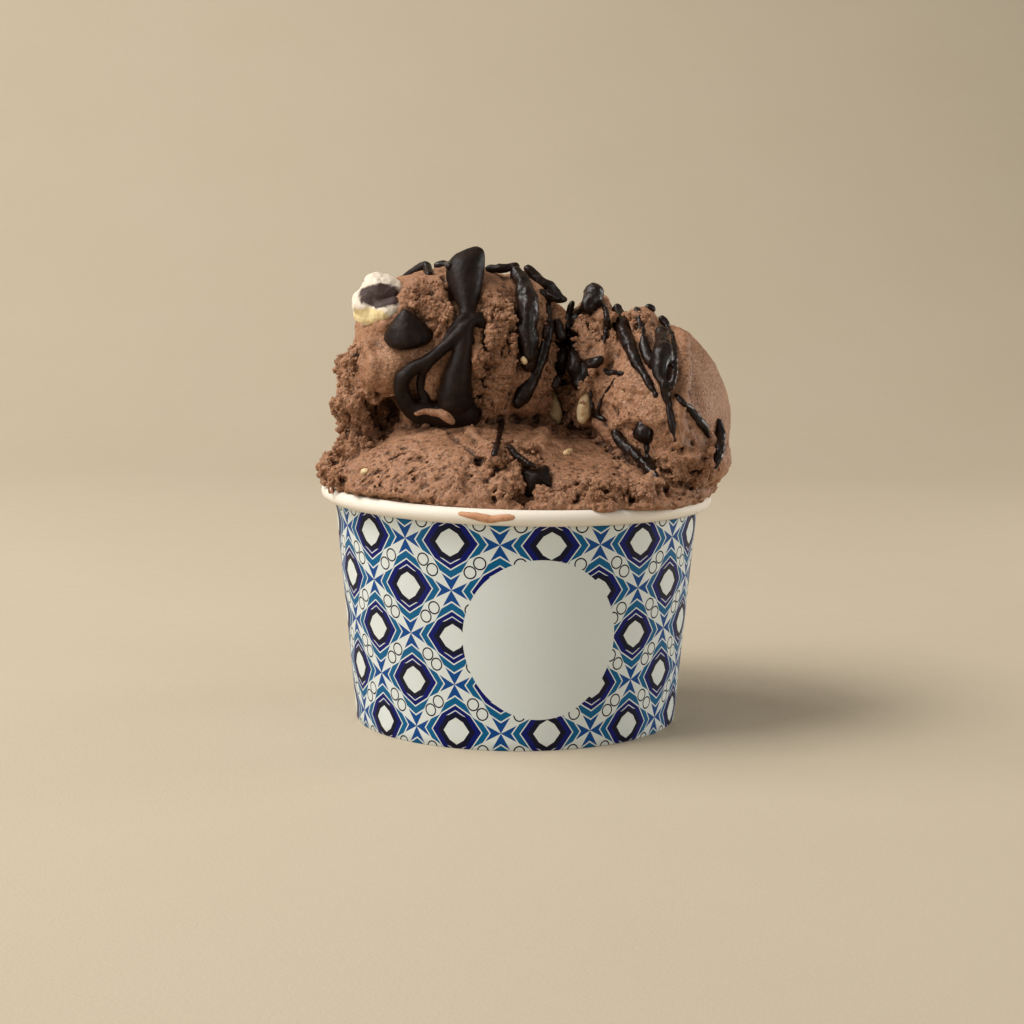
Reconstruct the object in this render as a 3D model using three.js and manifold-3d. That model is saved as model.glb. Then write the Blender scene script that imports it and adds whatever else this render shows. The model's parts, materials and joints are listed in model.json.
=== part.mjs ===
// A paper cup heaped with chocolate gelato, with hardened chocolate pieces and nuts pressed into it.
// Millimetres, +Z up. The cup stands on z = 0. The shown side faces -Y.
import * as THREE from "three";
import { mergeVertices } from "three/addons/utils/BufferGeometryUtils.js";
import Module from "manifold-3d";

const wasm = await Module();
wasm.setup();

// Driving dimensions
const RIM_RADIUS = 47.5; // outside of the rolled rim
const FOOT_RADIUS = 39.2; // outside of the wall where it stands
const CUP_HEIGHT = 57; // top of the rolled rim, on the axis
const RIM_LEAN = 1.2; // degrees that the rim falls towards +X, as soft paper does
const ROLL_RADIUS = 2.1; // section of the rolled rim
const PAPER = 0.5; // thickness of the wall
const FOOT_FOLD = 1.3; // wall folded in on itself under the base
const RECESS = 6; // height of the space under the base
const BASE_PAPER = 0.6;
const GAP = 0.3; // between pieces that touch
const AXIS_X = -2.4; // cup's axis, measured from the middle of the whole heap
const AXIS_Y = 0;
const TURNS = 36; // sides of what is turned
const STEP = 3.6; // between the rings of a strand

const INNER_RIM_RADIUS = RIM_RADIUS - 2 * ROLL_RADIUS;
const ROLL_CENTRE = new THREE.Vector2(RIM_RADIUS - ROLL_RADIUS, CUP_HEIGHT - ROLL_RADIUS);

// Radius of the wall's inner face at height z
function innerRadius(z) {
  const footInner = FOOT_RADIUS - PAPER;
  return footInner + ((INNER_RIM_RADIUS - footInner) * z) / ROLL_CENTRE.y;
}

// ---- shape helpers ----

// A geometry as a solid for joining and cutting
function solid(geometry) {
  const bare = geometry.clone();
  bare.deleteAttribute("normal");
  bare.deleteAttribute("uv");
  const merged = mergeVertices(bare, 1e-4);
  return new wasm.Manifold(
    new wasm.Mesh({
      numProp: 3,
      vertProperties: new Float32Array(merged.attributes.position.array),
      triVerts: new Uint32Array(merged.index.array),
    }),
  );
}

// A solid back as a geometry. Loose crumbs left by a cut are dropped.
function geometryOf(whole) {
  const pieces = whole.decompose();
  const main = pieces.reduce((a, b) => (b.volume() > a.volume() ? b : a));
  const mesh = main.getMesh();
  const geometry = new THREE.BufferGeometry();
  geometry.setAttribute("position", new THREE.BufferAttribute(mesh.vertProperties, 3));
  geometry.setIndex(new THREE.BufferAttribute(mesh.triVerts, 1));
  return geometry;
}

// Moves every vertex of a geometry by a function
function reshape(geometry, change) {
  const position = geometry.attributes.position;
  const point = new THREE.Vector3();
  for (let i = 0; i < position.count; i++) {
    point.fromBufferAttribute(position, i);
    change(point);
    position.setXYZ(i, point.x, point.y, point.z);
  }
  return geometry;
}

// Turns an outline of (radius, height) points about Z
function turned(outline, sides = TURNS) {
  return new THREE.LatheGeometry(outline, sides).rotateX(Math.PI / 2);
}

// The rim's fall: heights grow on one side and shrink on the other, and the foot stays flat
function lean(geometry) {
  const fall = Math.tan(THREE.MathUtils.degToRad(RIM_LEAN)) / CUP_HEIGHT;
  return reshape(geometry, (p) => {
    p.z -= p.z * p.x * fall;
  });
}

// Broad unevenness of paddled gelato, about one at most
function swell(p, wave) {
  const k = (2 * Math.PI) / wave;
  const across = Math.sin(k * (p.x + 0.4 * p.z)) * Math.cos(k * 0.8 * (p.y - 0.3 * p.x));
  const up = Math.sin(k * 0.9 * (p.z - 0.5 * p.x) + 1.3) * Math.cos(k * 0.7 * (p.y + 0.2 * p.z));
  return 0.6 * across + 0.4 * up;
}

// An uneven egg-shaped mass. `plan` and `profile` set how full its corners are, seen from above and
// from the side: 2 is round, more is blockier, and less draws it to a ridge.
function mass({ at, size, tilt = 0, plan = 2, profile = 2, lumps = 0.8, wave = 17, detail = 14 }) {
  const ball = new THREE.SphereGeometry(1, detail, Math.round(detail * 0.62)).rotateX(Math.PI / 2);
  reshape(ball, (p) => {
    const ring = (Math.abs(p.x) ** plan + Math.abs(p.y) ** plan) ** (1 / plan);
    p.multiplyScalar((ring ** profile + Math.abs(p.z) ** profile) ** (-1 / profile));
  });
  ball.scale(...size).rotateY(THREE.MathUtils.degToRad(tilt)).translate(...at);
  const centre = new THREE.Vector3(...at);
  return reshape(ball, (p) => {
    const out = p.clone().sub(centre).normalize();
    p.addScaledVector(out, lumps * swell(p, wave));
  });
}

// A round strand through points, each with its own half thickness, closed at both ends
function strand(points, halves, grow = 0, sides = 6) {
  const curve = new THREE.CatmullRomCurve3(points.map((p) => new THREE.Vector3(...p)));
  const steps = Math.max(5, Math.round(curve.getLength() / STEP));
  const frames = curve.computeFrenetFrames(steps, false);
  const along = (t) => {
    const place = t * (halves.length - 1);
    const i = Math.min(Math.floor(place), halves.length - 2);
    return THREE.MathUtils.lerp(halves[i], halves[i + 1], place - i) + grow;
  };
  const end = 0.45; // how far a rounded end stands out, in half thicknesses
  const outline = [new THREE.Vector2(0, -end)];
  for (let i = 0; i <= steps; i++) outline.push(new THREE.Vector2(1, i));
  outline.push(new THREE.Vector2(0, steps + end));
  return reshape(new THREE.LatheGeometry(outline, sides), (p) => {
    const i = THREE.MathUtils.clamp(Math.round(p.y), 0, steps);
    const half = along(i / steps);
    const over = (p.y - i) * (half + grow);
    const centre = curve.getPointAt(i / steps);
    const { x, z } = p;
    p.copy(centre)
      .addScaledVector(frames.normals[i], x * half)
      .addScaledVector(frames.binormals[i], -z * half)
      .addScaledVector(frames.tangents[i], over);
  });
}

// ---- the cup ----

// Outline of the wall with its rolled rim and folded foot
function wallOutline() {
  const outline = [
    new THREE.Vector2(FOOT_RADIUS - FOOT_FOLD, 0),
    new THREE.Vector2(FOOT_RADIUS, 0),
  ];
  const rollStart = THREE.MathUtils.degToRad(-140);
  const rollEnd = Math.PI;
  const rollSteps = 6;
  for (let i = 0; i <= rollSteps; i++) {
    const angle = THREE.MathUtils.lerp(rollStart, rollEnd, i / rollSteps);
    const onRoll = new THREE.Vector2(Math.cos(angle), Math.sin(angle)).multiplyScalar(ROLL_RADIUS);
    outline.push(onRoll.add(ROLL_CENTRE));
  }
  outline.push(new THREE.Vector2(innerRadius(RECESS), RECESS));
  outline.push(new THREE.Vector2(FOOT_RADIUS - FOOT_FOLD + 0.3, RECESS));
  outline.push(outline[0].clone());
  return outline;
}

// The raised base, a disc of paper that lies on the fold's edge
function baseOutline() {
  const low = RECESS + GAP;
  const radius = innerRadius(low) - GAP;
  return [
    new THREE.Vector2(0, low),
    new THREE.Vector2(radius, low),
    new THREE.Vector2(radius, low + BASE_PAPER),
    new THREE.Vector2(0, low + BASE_PAPER),
  ];
}

// ---- the gelato ----

const FILL_FLOOR = RECESS + BASE_PAPER + 2 * GAP;
const RIM_TOP = CUP_HEIGHT + GAP;

// What fills the cup, up to just over the rim's inner edge
function fillOutline() {
  return [
    new THREE.Vector2(0, FILL_FLOOR),
    new THREE.Vector2(innerRadius(FILL_FLOOR) - GAP, FILL_FLOOR),
    new THREE.Vector2(INNER_RIM_RADIUS - GAP, ROLL_CENTRE.y),
    new THREE.Vector2(INNER_RIM_RADIUS - GAP, RIM_TOP),
    new THREE.Vector2(0, RIM_TOP + 4),
  ];
}

// Everything outside the cup and under the top of its rim, which the gelato stays out of
function keepOutOutline() {
  const clear = ROLL_RADIUS + GAP;
  const far = 2 * RIM_RADIUS;
  const outline = [new THREE.Vector2(far, 0), new THREE.Vector2(far, RIM_TOP)];
  const rollSteps = 5;
  for (let i = 0; i <= rollSteps; i++) {
    const angle = THREE.MathUtils.lerp(Math.PI / 2, Math.PI, i / rollSteps);
    outline.push(
      new THREE.Vector2(Math.cos(angle), Math.sin(angle)).multiplyScalar(clear).add(ROLL_CENTRE),
    );
  }
  outline.push(new THREE.Vector2(innerRadius(0) - GAP, 0), outline[0].clone());
  return outline;
}

// The paddled masses that make the heap
const MASSES = [
  // broad mound, front and left
  { at: [-12, -3, 55], size: [36, 41.5, 19.5], lumps: 0.6, detail: 17 },
  // low mound at the right front
  { at: [14, -5, 55], size: [33, 39.5, 12.5], lumps: 0.9 },
  // mound at the back
  { at: [0, 8, 56], size: [44, 36.5, 16] },
  // tall left lobe
  { at: [-16.6, -1, 89.6], size: [22.8, 19.6, 20.4], plan: 2.4, profile: 2.5, tilt: -6, detail: 17 },
  // its right shoulder
  { at: [0.6, 1, 90.5], size: [9.4, 17, 18], plan: 2.5, profile: 2.5, lumps: 1, detail: 13 },
  // slab at its lower left
  { at: [-29.5, -13, 86.5], size: [9, 8.4, 6.4], plan: 2.4, profile: 2.4, lumps: 0.4, detail: 13 },
  // crumbling left edge, the knob above it and its foot
  { at: [-39.4, -9, 76.6], size: [4.7, 8, 7.4], lumps: 1.1, wave: 8, detail: 11 },
  { at: [-37.4, -8, 85.8], size: [4.9, 7, 3.8], lumps: 0.8, wave: 8, detail: 11 },
  { at: [-38, -11, 68], size: [6, 9, 4.4], lumps: 1, wave: 8, detail: 11 },
  // what closes the cave behind
  { at: [-30.5, 6, 73.5], size: [11, 13, 12.5] },
  // torn middle ridge
  { at: [18.5, 3, 86], size: [7.6, 15, 15.4], plan: 2.4, profile: 2.4, lumps: 1.2, wave: 11 },
  // smooth right lobe, its torn top and its overhanging foot
  { at: [35.2, -2, 73.8], size: [17.4, 26, 23.6], plan: 1.5, profile: 1.9, tilt: -8, lumps: 0.3, detail: 19 },
  { at: [29.6, -3, 88.4], size: [7.4, 13, 12.2], lumps: 0.7, wave: 10 },
  { at: [37.6, -6, 65.4], size: [14.4, 22, 9.4], lumps: 0.5 },
  // lobe at the back
  { at: [2, 19, 75], size: [31, 21, 21], lumps: 1.4 },
];

// Hollows torn between them
const HOLLOWS = [
  { at: [-31, -24, 75.6], size: [5, 15, 5.8], tilt: 20 }, // cave under the left lobe
  { at: [12, -20, 85], size: [3.9, 14, 17.5], tilt: 6 }, // valley between the lobes
  { at: [4.5, -40, 68], size: [9.5, 12, 4.6], tilt: 14 }, // trough in front of it
  { at: [1.5, -41, 58.6], size: [3.6, 4.5, 1.9] }, // slot at the front
  { at: [38, -33, 59.5], size: [4.6, 6, 2.6] }, // slot at the right
];

function heapSolid() {
  const heap = MASSES.map((m) => solid(mass(m))).reduce((a, b) => a.add(b));
  const carved = HOLLOWS.map((h) => solid(mass({ lumps: 0.5, wave: 7, detail: 12, ...h })));
  const open = carved.reduce((a, b) => a.subtract(b), heap);
  const aboveRim = open.subtract(solid(lean(turned(keepOutOutline()))));
  return aboveRim.add(solid(lean(turned(fillOutline()))));
}

// Where a level line from the front meets the heap
function onFront(heapMesh) {
  const ray = new THREE.Raycaster();
  const inwards = new THREE.Vector3(0, 1, 0);
  return (x, z) => {
    ray.set(new THREE.Vector3(x, -200, z), inwards);
    const hit = ray.intersectObject(heapMesh)[0];
    return hit ? hit.point.y : 0;
  };
}

const heap = heapSolid();
const frontOf = onFront(new THREE.Mesh(geometryOf(heap), new THREE.MeshBasicMaterial()));

// ---- chocolate, nuts and the pale chunk ----

// Route over the front of the heap: [x, z, how far it stands out of the surface]
function draped(route) {
  return route.map(([x, z, out]) => [x, frontOf(x, z) - out, z]);
}

// Each strand: its route, and its half thickness from end to end
const STRANDS = {
  band_long: {
    points: draped([[-0.4, 106.4, 0.6], [2.2, 101, 0.8], [3, 95, 0.8], [2.4, 89.6, 0.7], [0.8, 86, 0.4]]),
    halves: [1.6, 2.6, 2.8, 2.5, 1.3],
  },
  band_hook: {
    points: draped([[7.6, 102, 1], [8.3, 95, 1.2], [7, 88, 1.2], [3.8, 81.4, 0.8], [0.6, 77.3, 0.6]]),
    halves: [1.2, 1.4, 1.4, 1.7, 1.9],
  },
  band_crest: {
    points: [[3, -3, 109.3], [6, -5, 107.4], [9, -4, 104], [12.2, -4, 101.2]],
    halves: [1, 1.6, 1.8, 1.4],
  },
  drip_outer: {
    points: draped([[25.2, 99, 0.6], [26.8, 92, 0.7], [29, 86, 0.6], [32, 80, 0.4], [33.6, 77, 0.2]]),
    halves: [1.2, 1.9, 1.5, 0.9, 0.6],
  },
  drip_broad: {
    points: draped([
      [31.6, 97, 0.3], [32.4, 92.5, 0.4], [34.2, 88.4, 0.8],
      [35.4, 84.5, 0.6], [36.4, 79, 0.4], [37.8, 72, 0.2],
    ]),
    halves: [1, 1.5, 3, 2.2, 1.2, 0.7],
  },
  valley_pool: {
    points: draped([[18.2, 92, 0.3], [15.4, 88.6, 0.6], [13.4, 84.6, 0.8], [13.6, 80.4, 0.4]]),
    halves: [1.4, 2.2, 2.9, 1.4],
  },
  drip_side: {
    points: draped([[48.2, 73, 0.4], [48, 70.5, 0.5], [46.8, 67, 0.5], [46, 63.5, 0.4]]),
    halves: [0.9, 1.5, 1.5, 1],
  },
  fork: {
    points: draped([[23.4, 71.2, 0.5], [26, 68, 0.7], [29.4, 65, 0.7], [31.6, 62.6, 0.4]]),
    halves: [1.1, 1.3, 1.9, 1.2],
  },
};

// The tall drop on the left lobe, its stem, and the loop of chocolate beside it
const SPIRE_DROP = {
  points: [
    [-9.9, -9.5, 114.4], [-11.2, -10.5, 110.6], [-12.7, -12.4, 106.4],
    [-12.9, -15.5, 102], [-12.6, -18.5, 98.4],
  ],
  halves: [1.2, 3.3, 4.9, 3.8, 2],
};
const SPIRE_STEM = {
  points: draped([
    [-12.6, 98.6, 0.4], [-13.2, 93, 0.6], [-14.4, 86, 0.8], [-15, 79.5, 0.8], [-14, 75.4, 0.6],
  ]),
  halves: [1.8, 2.4, 3.4, 4.4, 3.8],
};
const SPIRE_LOOP = {
  points: draped([
    [-9.4, 98.6, 1], [-13.5, 93.5, 1.6], [-19.5, 89.6, 1], [-24.8, 86.4, 0.7],
    [-26.6, 82.6, 0.7], [-24.4, 79, 0.7], [-20, 76.4, 0.8], [-14.6, 76, 0.8],
  ]),
  halves: [1.1, 1.5, 1.7, 2.2, 2.7, 2.8, 2.8, 2.8],
};

function spire(grow = 0) {
  const parts = [SPIRE_DROP, SPIRE_STEM, SPIRE_LOOP];
  return parts.map((s) => solid(strand(s.points, s.halves, grow))).reduce((a, b) => a.add(b));
}

// A drop with a round belly and a drawn-out tip, leaning back on the gelato
const KISS = { x: -25.6, z: 95.2, belly: 7.4, below: 3.74, above: 5.72, lean: 14, tilt: -6, sink: 0.6 };

function kiss(grow = 0) {
  const scale = 1 + grow / 4;
  const outline = [];
  const steps = 8;
  for (let i = 0; i <= steps; i++) {
    const angle = (Math.PI * i) / steps;
    const taper = Math.sin(angle) * Math.pow(Math.cos(angle / 2), 0.9);
    const reach = angle > Math.PI / 2 ? KISS.above : KISS.below;
    const pole = i === 0 || i === steps;
    const radius = pole ? 0 : taper * KISS.belly;
    outline.push(new THREE.Vector2(radius, -Math.cos(angle) * reach).multiplyScalar(scale));
  }
  const drop = turned(outline, 12);
  drop.rotateX(THREE.MathUtils.degToRad(KISS.lean)).rotateY(THREE.MathUtils.degToRad(KISS.tilt));
  return solid(drop.translate(KISS.x, frontOf(KISS.x, KISS.z) + KISS.sink, KISS.z));
}

// A broken block of chocolate: three boxes, each turned another way, leave flat faces
const CHUNK = { x: 4.6, z: 62.2, sink: 1, size: [6, 5.6, 5.4], turns: [[0.3, 0.2], [1, 0.9], [-0.2, 1.5]] };

function chunk(grow = 0) {
  const boxes = CHUNK.turns.map(([roll, turn], i) => {
    const sides = CHUNK.size.map((side) => side * (1 + i / 40) + 2 * grow);
    return solid(new THREE.BoxGeometry(...sides).rotateX(roll).rotateZ(turn));
  });
  const lump = boxes.reduce((a, b) => a.intersect(b));
  return lump.translate([CHUNK.x, frontOf(CHUNK.x, CHUNK.z) + CHUNK.sink, CHUNK.z]);
}

// A flattened bead of chocolate
const BUTTON = { x: 29.6, z: 72.6, sink: 0.4, size: [2.6, 2.2, 3.3], tilt: 8 };

function button(grow = 0) {
  const bead = new THREE.SphereGeometry(1, 10, 7);
  bead.scale(...BUTTON.size.map((half) => half + grow)).rotateY(THREE.MathUtils.degToRad(BUTTON.tilt));
  return solid(bead.translate(BUTTON.x, frontOf(BUTTON.x, BUTTON.z) + BUTTON.sink, BUTTON.z));
}

// The pale chunk at the left shoulder: a lump with a drawn-out lower corner
const PALE_CHUNK = { at: [-32.2, -9, 103], size: [6.2, 5, 5.6], corner: 0.25, dents: 0.06, tilt: -12 };

function paleChunk(grow = 0) {
  const lump = new THREE.SphereGeometry(1, 12, 9).rotateX(Math.PI / 2);
  reshape(lump, (p) => {
    const corner = Math.max(0, -0.7 * p.x - 0.7 * p.z);
    const dent = PALE_CHUNK.dents * Math.sin(5 * p.x + 3 * p.z);
    p.multiplyScalar(1 + PALE_CHUNK.corner * corner * corner + dent);
  });
  lump.scale(...PALE_CHUNK.size.map((half) => half + grow));
  lump.rotateY(THREE.MathUtils.degToRad(PALE_CHUNK.tilt));
  return solid(lump.translate(...PALE_CHUNK.at));
}

// A long blanched nut, lying up the valley
const NUT_SIZE = [1.7, 1.5, 4.6];
const NUT_TAPER = 0.25;
const NUT_SINK = 0.3;

function nut(x, z, tilt, grow = 0) {
  const kernel = new THREE.SphereGeometry(1, 8, 8).rotateX(Math.PI / 2);
  reshape(kernel, (p) => {
    p.x *= 1 - NUT_TAPER * p.z;
  });
  kernel.scale(...NUT_SIZE.map((half) => half + grow)).rotateY(THREE.MathUtils.degToRad(tilt));
  return solid(kernel.translate(x, frontOf(x, z) + NUT_SINK, z));
}

// The glossy bead that tops the middle ridge, with the strand that runs down from it
const CREST = {
  bead: [19.2, -4, 103.6],
  radius: 2.2,
  points: [[19, -5, 102.6], [17.4, -8, 100], [15.8, -10.5, 96.6], [14.8, -12, 93]],
  halves: [1.6, 1.3, 1.4, 1],
};

function crestDrop(grow = 0) {
  const bead = new THREE.SphereGeometry(CREST.radius + grow, 8, 6).translate(...CREST.bead);
  return solid(bead).add(solid(strand(CREST.points, CREST.halves, grow)));
}

// The curl that lies over the top left of the heap, and the bar on top of it
const CURL = {
  points: [[-27.4, -1.5, 106], [-24.4, -2.5, 108.6], [-21.2, -3.5, 110.4]],
  halves: [1.4, 1.7, 1.5],
};
const BAR = {
  points: [[-7.2, -4, 109.2], [-3.4, -5.5, 109.8], [0, -4.5, 110.2]],
  halves: [1, 1.3, 1.2],
};

// ---- every topping by name, with its colour ----

const DARK = { color: 0x2a1d18, roughness: 0.45, metalness: 0 };
const PALE = { color: 0xe9dfc8, roughness: 0.5, metalness: 0 };
const NUT = { color: 0xe0c795, roughness: 0.6, metalness: 0 };
const GELATO = { color: 0x8e6248, roughness: 0.7, metalness: 0 };
const PRINTED_PAPER = { color: 0xe8e4da, roughness: 0.4, metalness: 0 };
const PLAIN_PAPER = { color: 0xf2efe6, roughness: 0.55, metalness: 0 };

const TOPPINGS = {
  chocolate_spire: [spire, DARK],
  chocolate_kiss: [kiss, DARK],
  pale_chunk: [paleChunk, PALE],
  chocolate_crest_drop: [crestDrop, DARK],
  chocolate_curl: [(grow) => solid(strand(CURL.points, CURL.halves, grow)), DARK],
  chocolate_bar: [(grow) => solid(strand(BAR.points, BAR.halves, grow)), DARK],
  chocolate_button: [button, DARK],
  chocolate_chunk: [chunk, DARK],
  nut_left: [(grow) => nut(8.9, 76.5, -14, grow), NUT],
  nut_right: [(grow) => nut(16.2, 77.5, 9, grow), NUT],
};
for (const [name, { points, halves }] of Object.entries(STRANDS))
  TOPPINGS[`chocolate_${name}`] = [(grow) => solid(strand(points, halves, grow)), DARK];

// ---- assembly ----

const cup = new THREE.Group();
cup.position.set(AXIS_X, AXIS_Y, 0);

function add(name, geometry, finish) {
  const mesh = new THREE.Mesh(geometry, new THREE.MeshStandardMaterial(finish));
  mesh.name = name;
  cup.add(mesh);
}

add("cup_wall", lean(turned(wallOutline())), PRINTED_PAPER);
add("cup_base", lean(turned(baseOutline())), PLAIN_PAPER);

let gelato = heap;
for (const [name, [make, finish]] of Object.entries(TOPPINGS)) {
  gelato = gelato.subtract(make(GAP));
  add(name, geometryOf(make(0)), finish);
}
add("gelato", geometryOf(gelato), GELATO);

const part = new THREE.Group();
part.add(cup);
export default part;
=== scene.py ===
import json
import math

import bmesh
import bpy
import numpy as np
import openvdb
from mathutils import Matrix, Vector
from mathutils.bvhtree import BVHTree


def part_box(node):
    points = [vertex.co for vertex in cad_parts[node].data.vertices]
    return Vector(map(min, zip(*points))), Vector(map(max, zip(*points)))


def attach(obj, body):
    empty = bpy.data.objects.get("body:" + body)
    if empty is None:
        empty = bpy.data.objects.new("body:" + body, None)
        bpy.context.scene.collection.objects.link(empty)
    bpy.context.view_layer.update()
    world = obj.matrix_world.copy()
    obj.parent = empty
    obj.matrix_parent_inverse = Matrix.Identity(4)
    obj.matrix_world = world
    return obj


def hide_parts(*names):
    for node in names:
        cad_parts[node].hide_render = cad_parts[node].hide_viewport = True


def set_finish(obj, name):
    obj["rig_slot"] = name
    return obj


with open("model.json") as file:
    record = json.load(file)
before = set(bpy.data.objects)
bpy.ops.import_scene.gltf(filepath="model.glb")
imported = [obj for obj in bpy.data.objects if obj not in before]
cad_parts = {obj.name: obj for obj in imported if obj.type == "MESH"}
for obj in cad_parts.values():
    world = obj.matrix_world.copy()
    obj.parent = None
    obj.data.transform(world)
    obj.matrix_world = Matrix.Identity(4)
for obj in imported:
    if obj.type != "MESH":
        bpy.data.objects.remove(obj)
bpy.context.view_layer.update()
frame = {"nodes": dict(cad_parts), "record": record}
nodes = frame["nodes"]
scene = bpy.context.scene
mm = 0.001

# Places are in millimetres from the cup's axis, at the height of the table.
cupLow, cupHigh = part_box("cup_wall")
cupAxis = np.array([(cupLow.x + cupHigh.x) / 2, (cupLow.y + cupHigh.y) / 2, 0]) / mm
toppingNames = [name for name in nodes if name not in ("gelato", "cup_wall", "cup_base")]


def toPlace(point):
    return Vector((np.asarray(point, float) + cupAxis) * mm)


def pointsOf(obj):
    points = np.empty(len(obj.data.vertices) * 3, np.float32)
    obj.data.vertices.foreach_get("co", points)
    return points.reshape(-1, 3) / np.float32(mm) - cupAxis.astype(np.float32)


# An object's points in millimetres, and its triangles
def meshOf(obj):
    mesh = obj.data
    mesh.calc_loop_triangles()
    triangles = np.empty(len(mesh.loop_triangles) * 3, np.int32)
    mesh.loop_triangles.foreach_get("vertices", triangles)
    return pointsOf(obj), triangles.reshape(-1, 3).astype(np.uint32)


# Finds where a straight line meets an object
def treeOf(obj):
    points, triangles = meshOf(obj)
    return BVHTree.FromPolygons(points.tolist(), triangles.tolist())


# A smooth-shaded object from points in millimetres and faces of one size
def newObject(name, points, faces):
    mesh = bpy.data.meshes.new(name)
    mesh.vertices.add(len(points))
    mesh.vertices.foreach_set("co", ((points + cupAxis) * mm).astype(np.float32).ravel())
    mesh.loops.add(faces.size)
    mesh.loops.foreach_set("vertex_index", faces.astype(np.int32).ravel())
    mesh.polygons.add(len(faces))
    mesh.polygons.foreach_set("loop_start", np.arange(0, faces.size, faces.shape[1], dtype=np.int32))
    mesh.update(calc_edges=True)
    mesh.polygons.foreach_set("use_smooth", np.ones(len(faces), bool))
    mesh.validate()
    obj = bpy.data.objects.new(name, mesh)
    scene.collection.objects.link(obj)
    return obj


def setAttribute(obj, name, values):
    attribute = obj.data.attributes.new(name, "FLOAT", "POINT")
    attribute.data.foreach_set("value", values.astype(np.float32))


# Fewer triangles where the surface is even, over all of an object or only at the chosen points
def thin(obj, most, chosen=None):
    triangles = sum(len(face.vertices) - 2 for face in obj.data.polygons)
    if triangles <= most:
        return
    modifier = obj.modifiers.new("thin", "DECIMATE")
    modifier.ratio = most / triangles
    if chosen is not None:
        group = obj.vertex_groups.new(name="chosen")
        group.add(np.nonzero(chosen)[0].tolist(), 1.0, "REPLACE")
        modifier.vertex_group = group.name
    bpy.context.view_layer.objects.active = obj
    bpy.ops.object.modifier_apply(modifier=modifier.name)
    obj.vertex_groups.clear()
    obj.data.polygons.foreach_set("use_smooth", np.ones(len(obj.data.polygons), bool))


# ---- space cut into cells that hold distances to a surface ----


class Space:
    def __init__(self, low, high, cell):
        self.cell = cell
        self.low = np.floor(np.asarray(low) / cell).astype(int)
        self.shape = tuple(np.ceil(np.asarray(high) / cell).astype(int) - self.low + 1)
        self.transform = openvdb.createLinearTransform(voxelSize=cell)

    def distance(self, points, triangles, band):
        grid = openvdb.FloatGrid.createLevelSetFromPolygons(
            points.astype(np.float32),
            triangles=triangles,
            transform=self.transform,
            halfWidth=band / self.cell,
        )
        values = np.empty(self.shape, np.float32)
        grid.copyToArray(values, ijk=tuple(int(i) for i in self.low))
        return values

    def surface(self, values):
        grid = openvdb.FloatGrid(float(values.max()))
        grid.transform = self.transform
        grid.copyFromArray(values, ijk=tuple(int(i) for i in self.low))
        points, _, quads = grid.convertToPolygons()
        return points, quads[:, ::-1]

    def places(self, chosen):
        return (np.stack(chosen, 1) + self.low).astype(np.float32) * np.float32(self.cell)

    # Values of a grid at any points, even between its cells
    def sample(self, values, points):
        scaled = points / self.cell - self.low
        base = np.clip(np.floor(scaled).astype(int), 0, np.array(self.shape) - 2)
        part = np.clip(scaled - base, 0, 1)
        total = np.zeros(len(points))
        for i, j, k in np.ndindex(2, 2, 2):
            share = np.abs((1 - part) - (i, j, k)).prod(1)
            total += share * values[base[:, 0] + i, base[:, 1] + j, base[:, 2] + k]
        return total

    # Distance to a route of thickening and thinning balls, joined on or cut out with a soft edge
    def route(self, values, points, halves, soft=0.6, cut=False):
        points = np.asarray(points, np.float32)
        for a, b, ra, rb in zip(points[:-1], points[1:], halves[:-1], halves[1:]):
            reach = max(ra, rb) + 3
            low = np.floor((np.minimum(a, b) - reach) / self.cell).astype(int) - self.low
            high = np.ceil((np.maximum(a, b) + reach) / self.cell).astype(int) - self.low
            low, high = np.maximum(low, 0), np.minimum(high, self.shape)
            if (high <= low).any():
                continue
            box = tuple(slice(i, j) for i, j in zip(low, high))
            axes = [np.arange(i, j, dtype=np.float32) + o for i, j, o in zip(low, high, self.low)]
            x, y, z = np.meshgrid(*axes, indexing="ij")
            away = np.stack([x, y, z], -1) * np.float32(self.cell) - a
            line = b - a
            t = np.clip(away @ line / max(float(line @ line), 1e-6), 0, 1)
            gap = away - t[..., None] * line
            d = np.sqrt((gap * gap).sum(-1)) - (ra + (rb - ra) * t)
            here = values[box]
            other = -d if cut else d
            sign = -1 if cut else 1
            blend = np.clip(0.5 + 0.5 * sign * (other - here) / soft, 0, 1)
            values[box] = other * (1 - blend) + here * blend - sign * soft * blend * (1 - blend)
        return values


# Values kept with the space that they belong to
class Field:
    def __init__(self, space, values):
        self.space, self.values = space, values

    def at(self, points):
        return self.space.sample(self.values, points)


def blur(values, distance, cell):
    sigma = distance / cell
    reach = max(1, math.ceil(2.2 * sigma))
    weights = np.exp(-0.5 * (np.arange(-reach, reach + 1) / sigma) ** 2)
    weights = (weights / weights.sum()).astype(np.float32)
    for axis in range(3):
        padded = np.pad(values, [(reach, reach) if a == axis else (0, 0) for a in range(3)], mode="edge")
        total = np.zeros_like(values)
        for i, weight in enumerate(weights):
            window = [slice(None)] * 3
            window[axis] = slice(i, i + values.shape[axis])
            total += weight * padded[tuple(window)]
        values = total
    return values


# ---- unevenness, in millimetres ----

tableSide = 32  # a table of random numbers repeats after this many cells


def ease(low, high, x):
    t = np.clip((x - low) / (high - low), 0, 1)
    return t * t * (3 - 2 * t)


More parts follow.
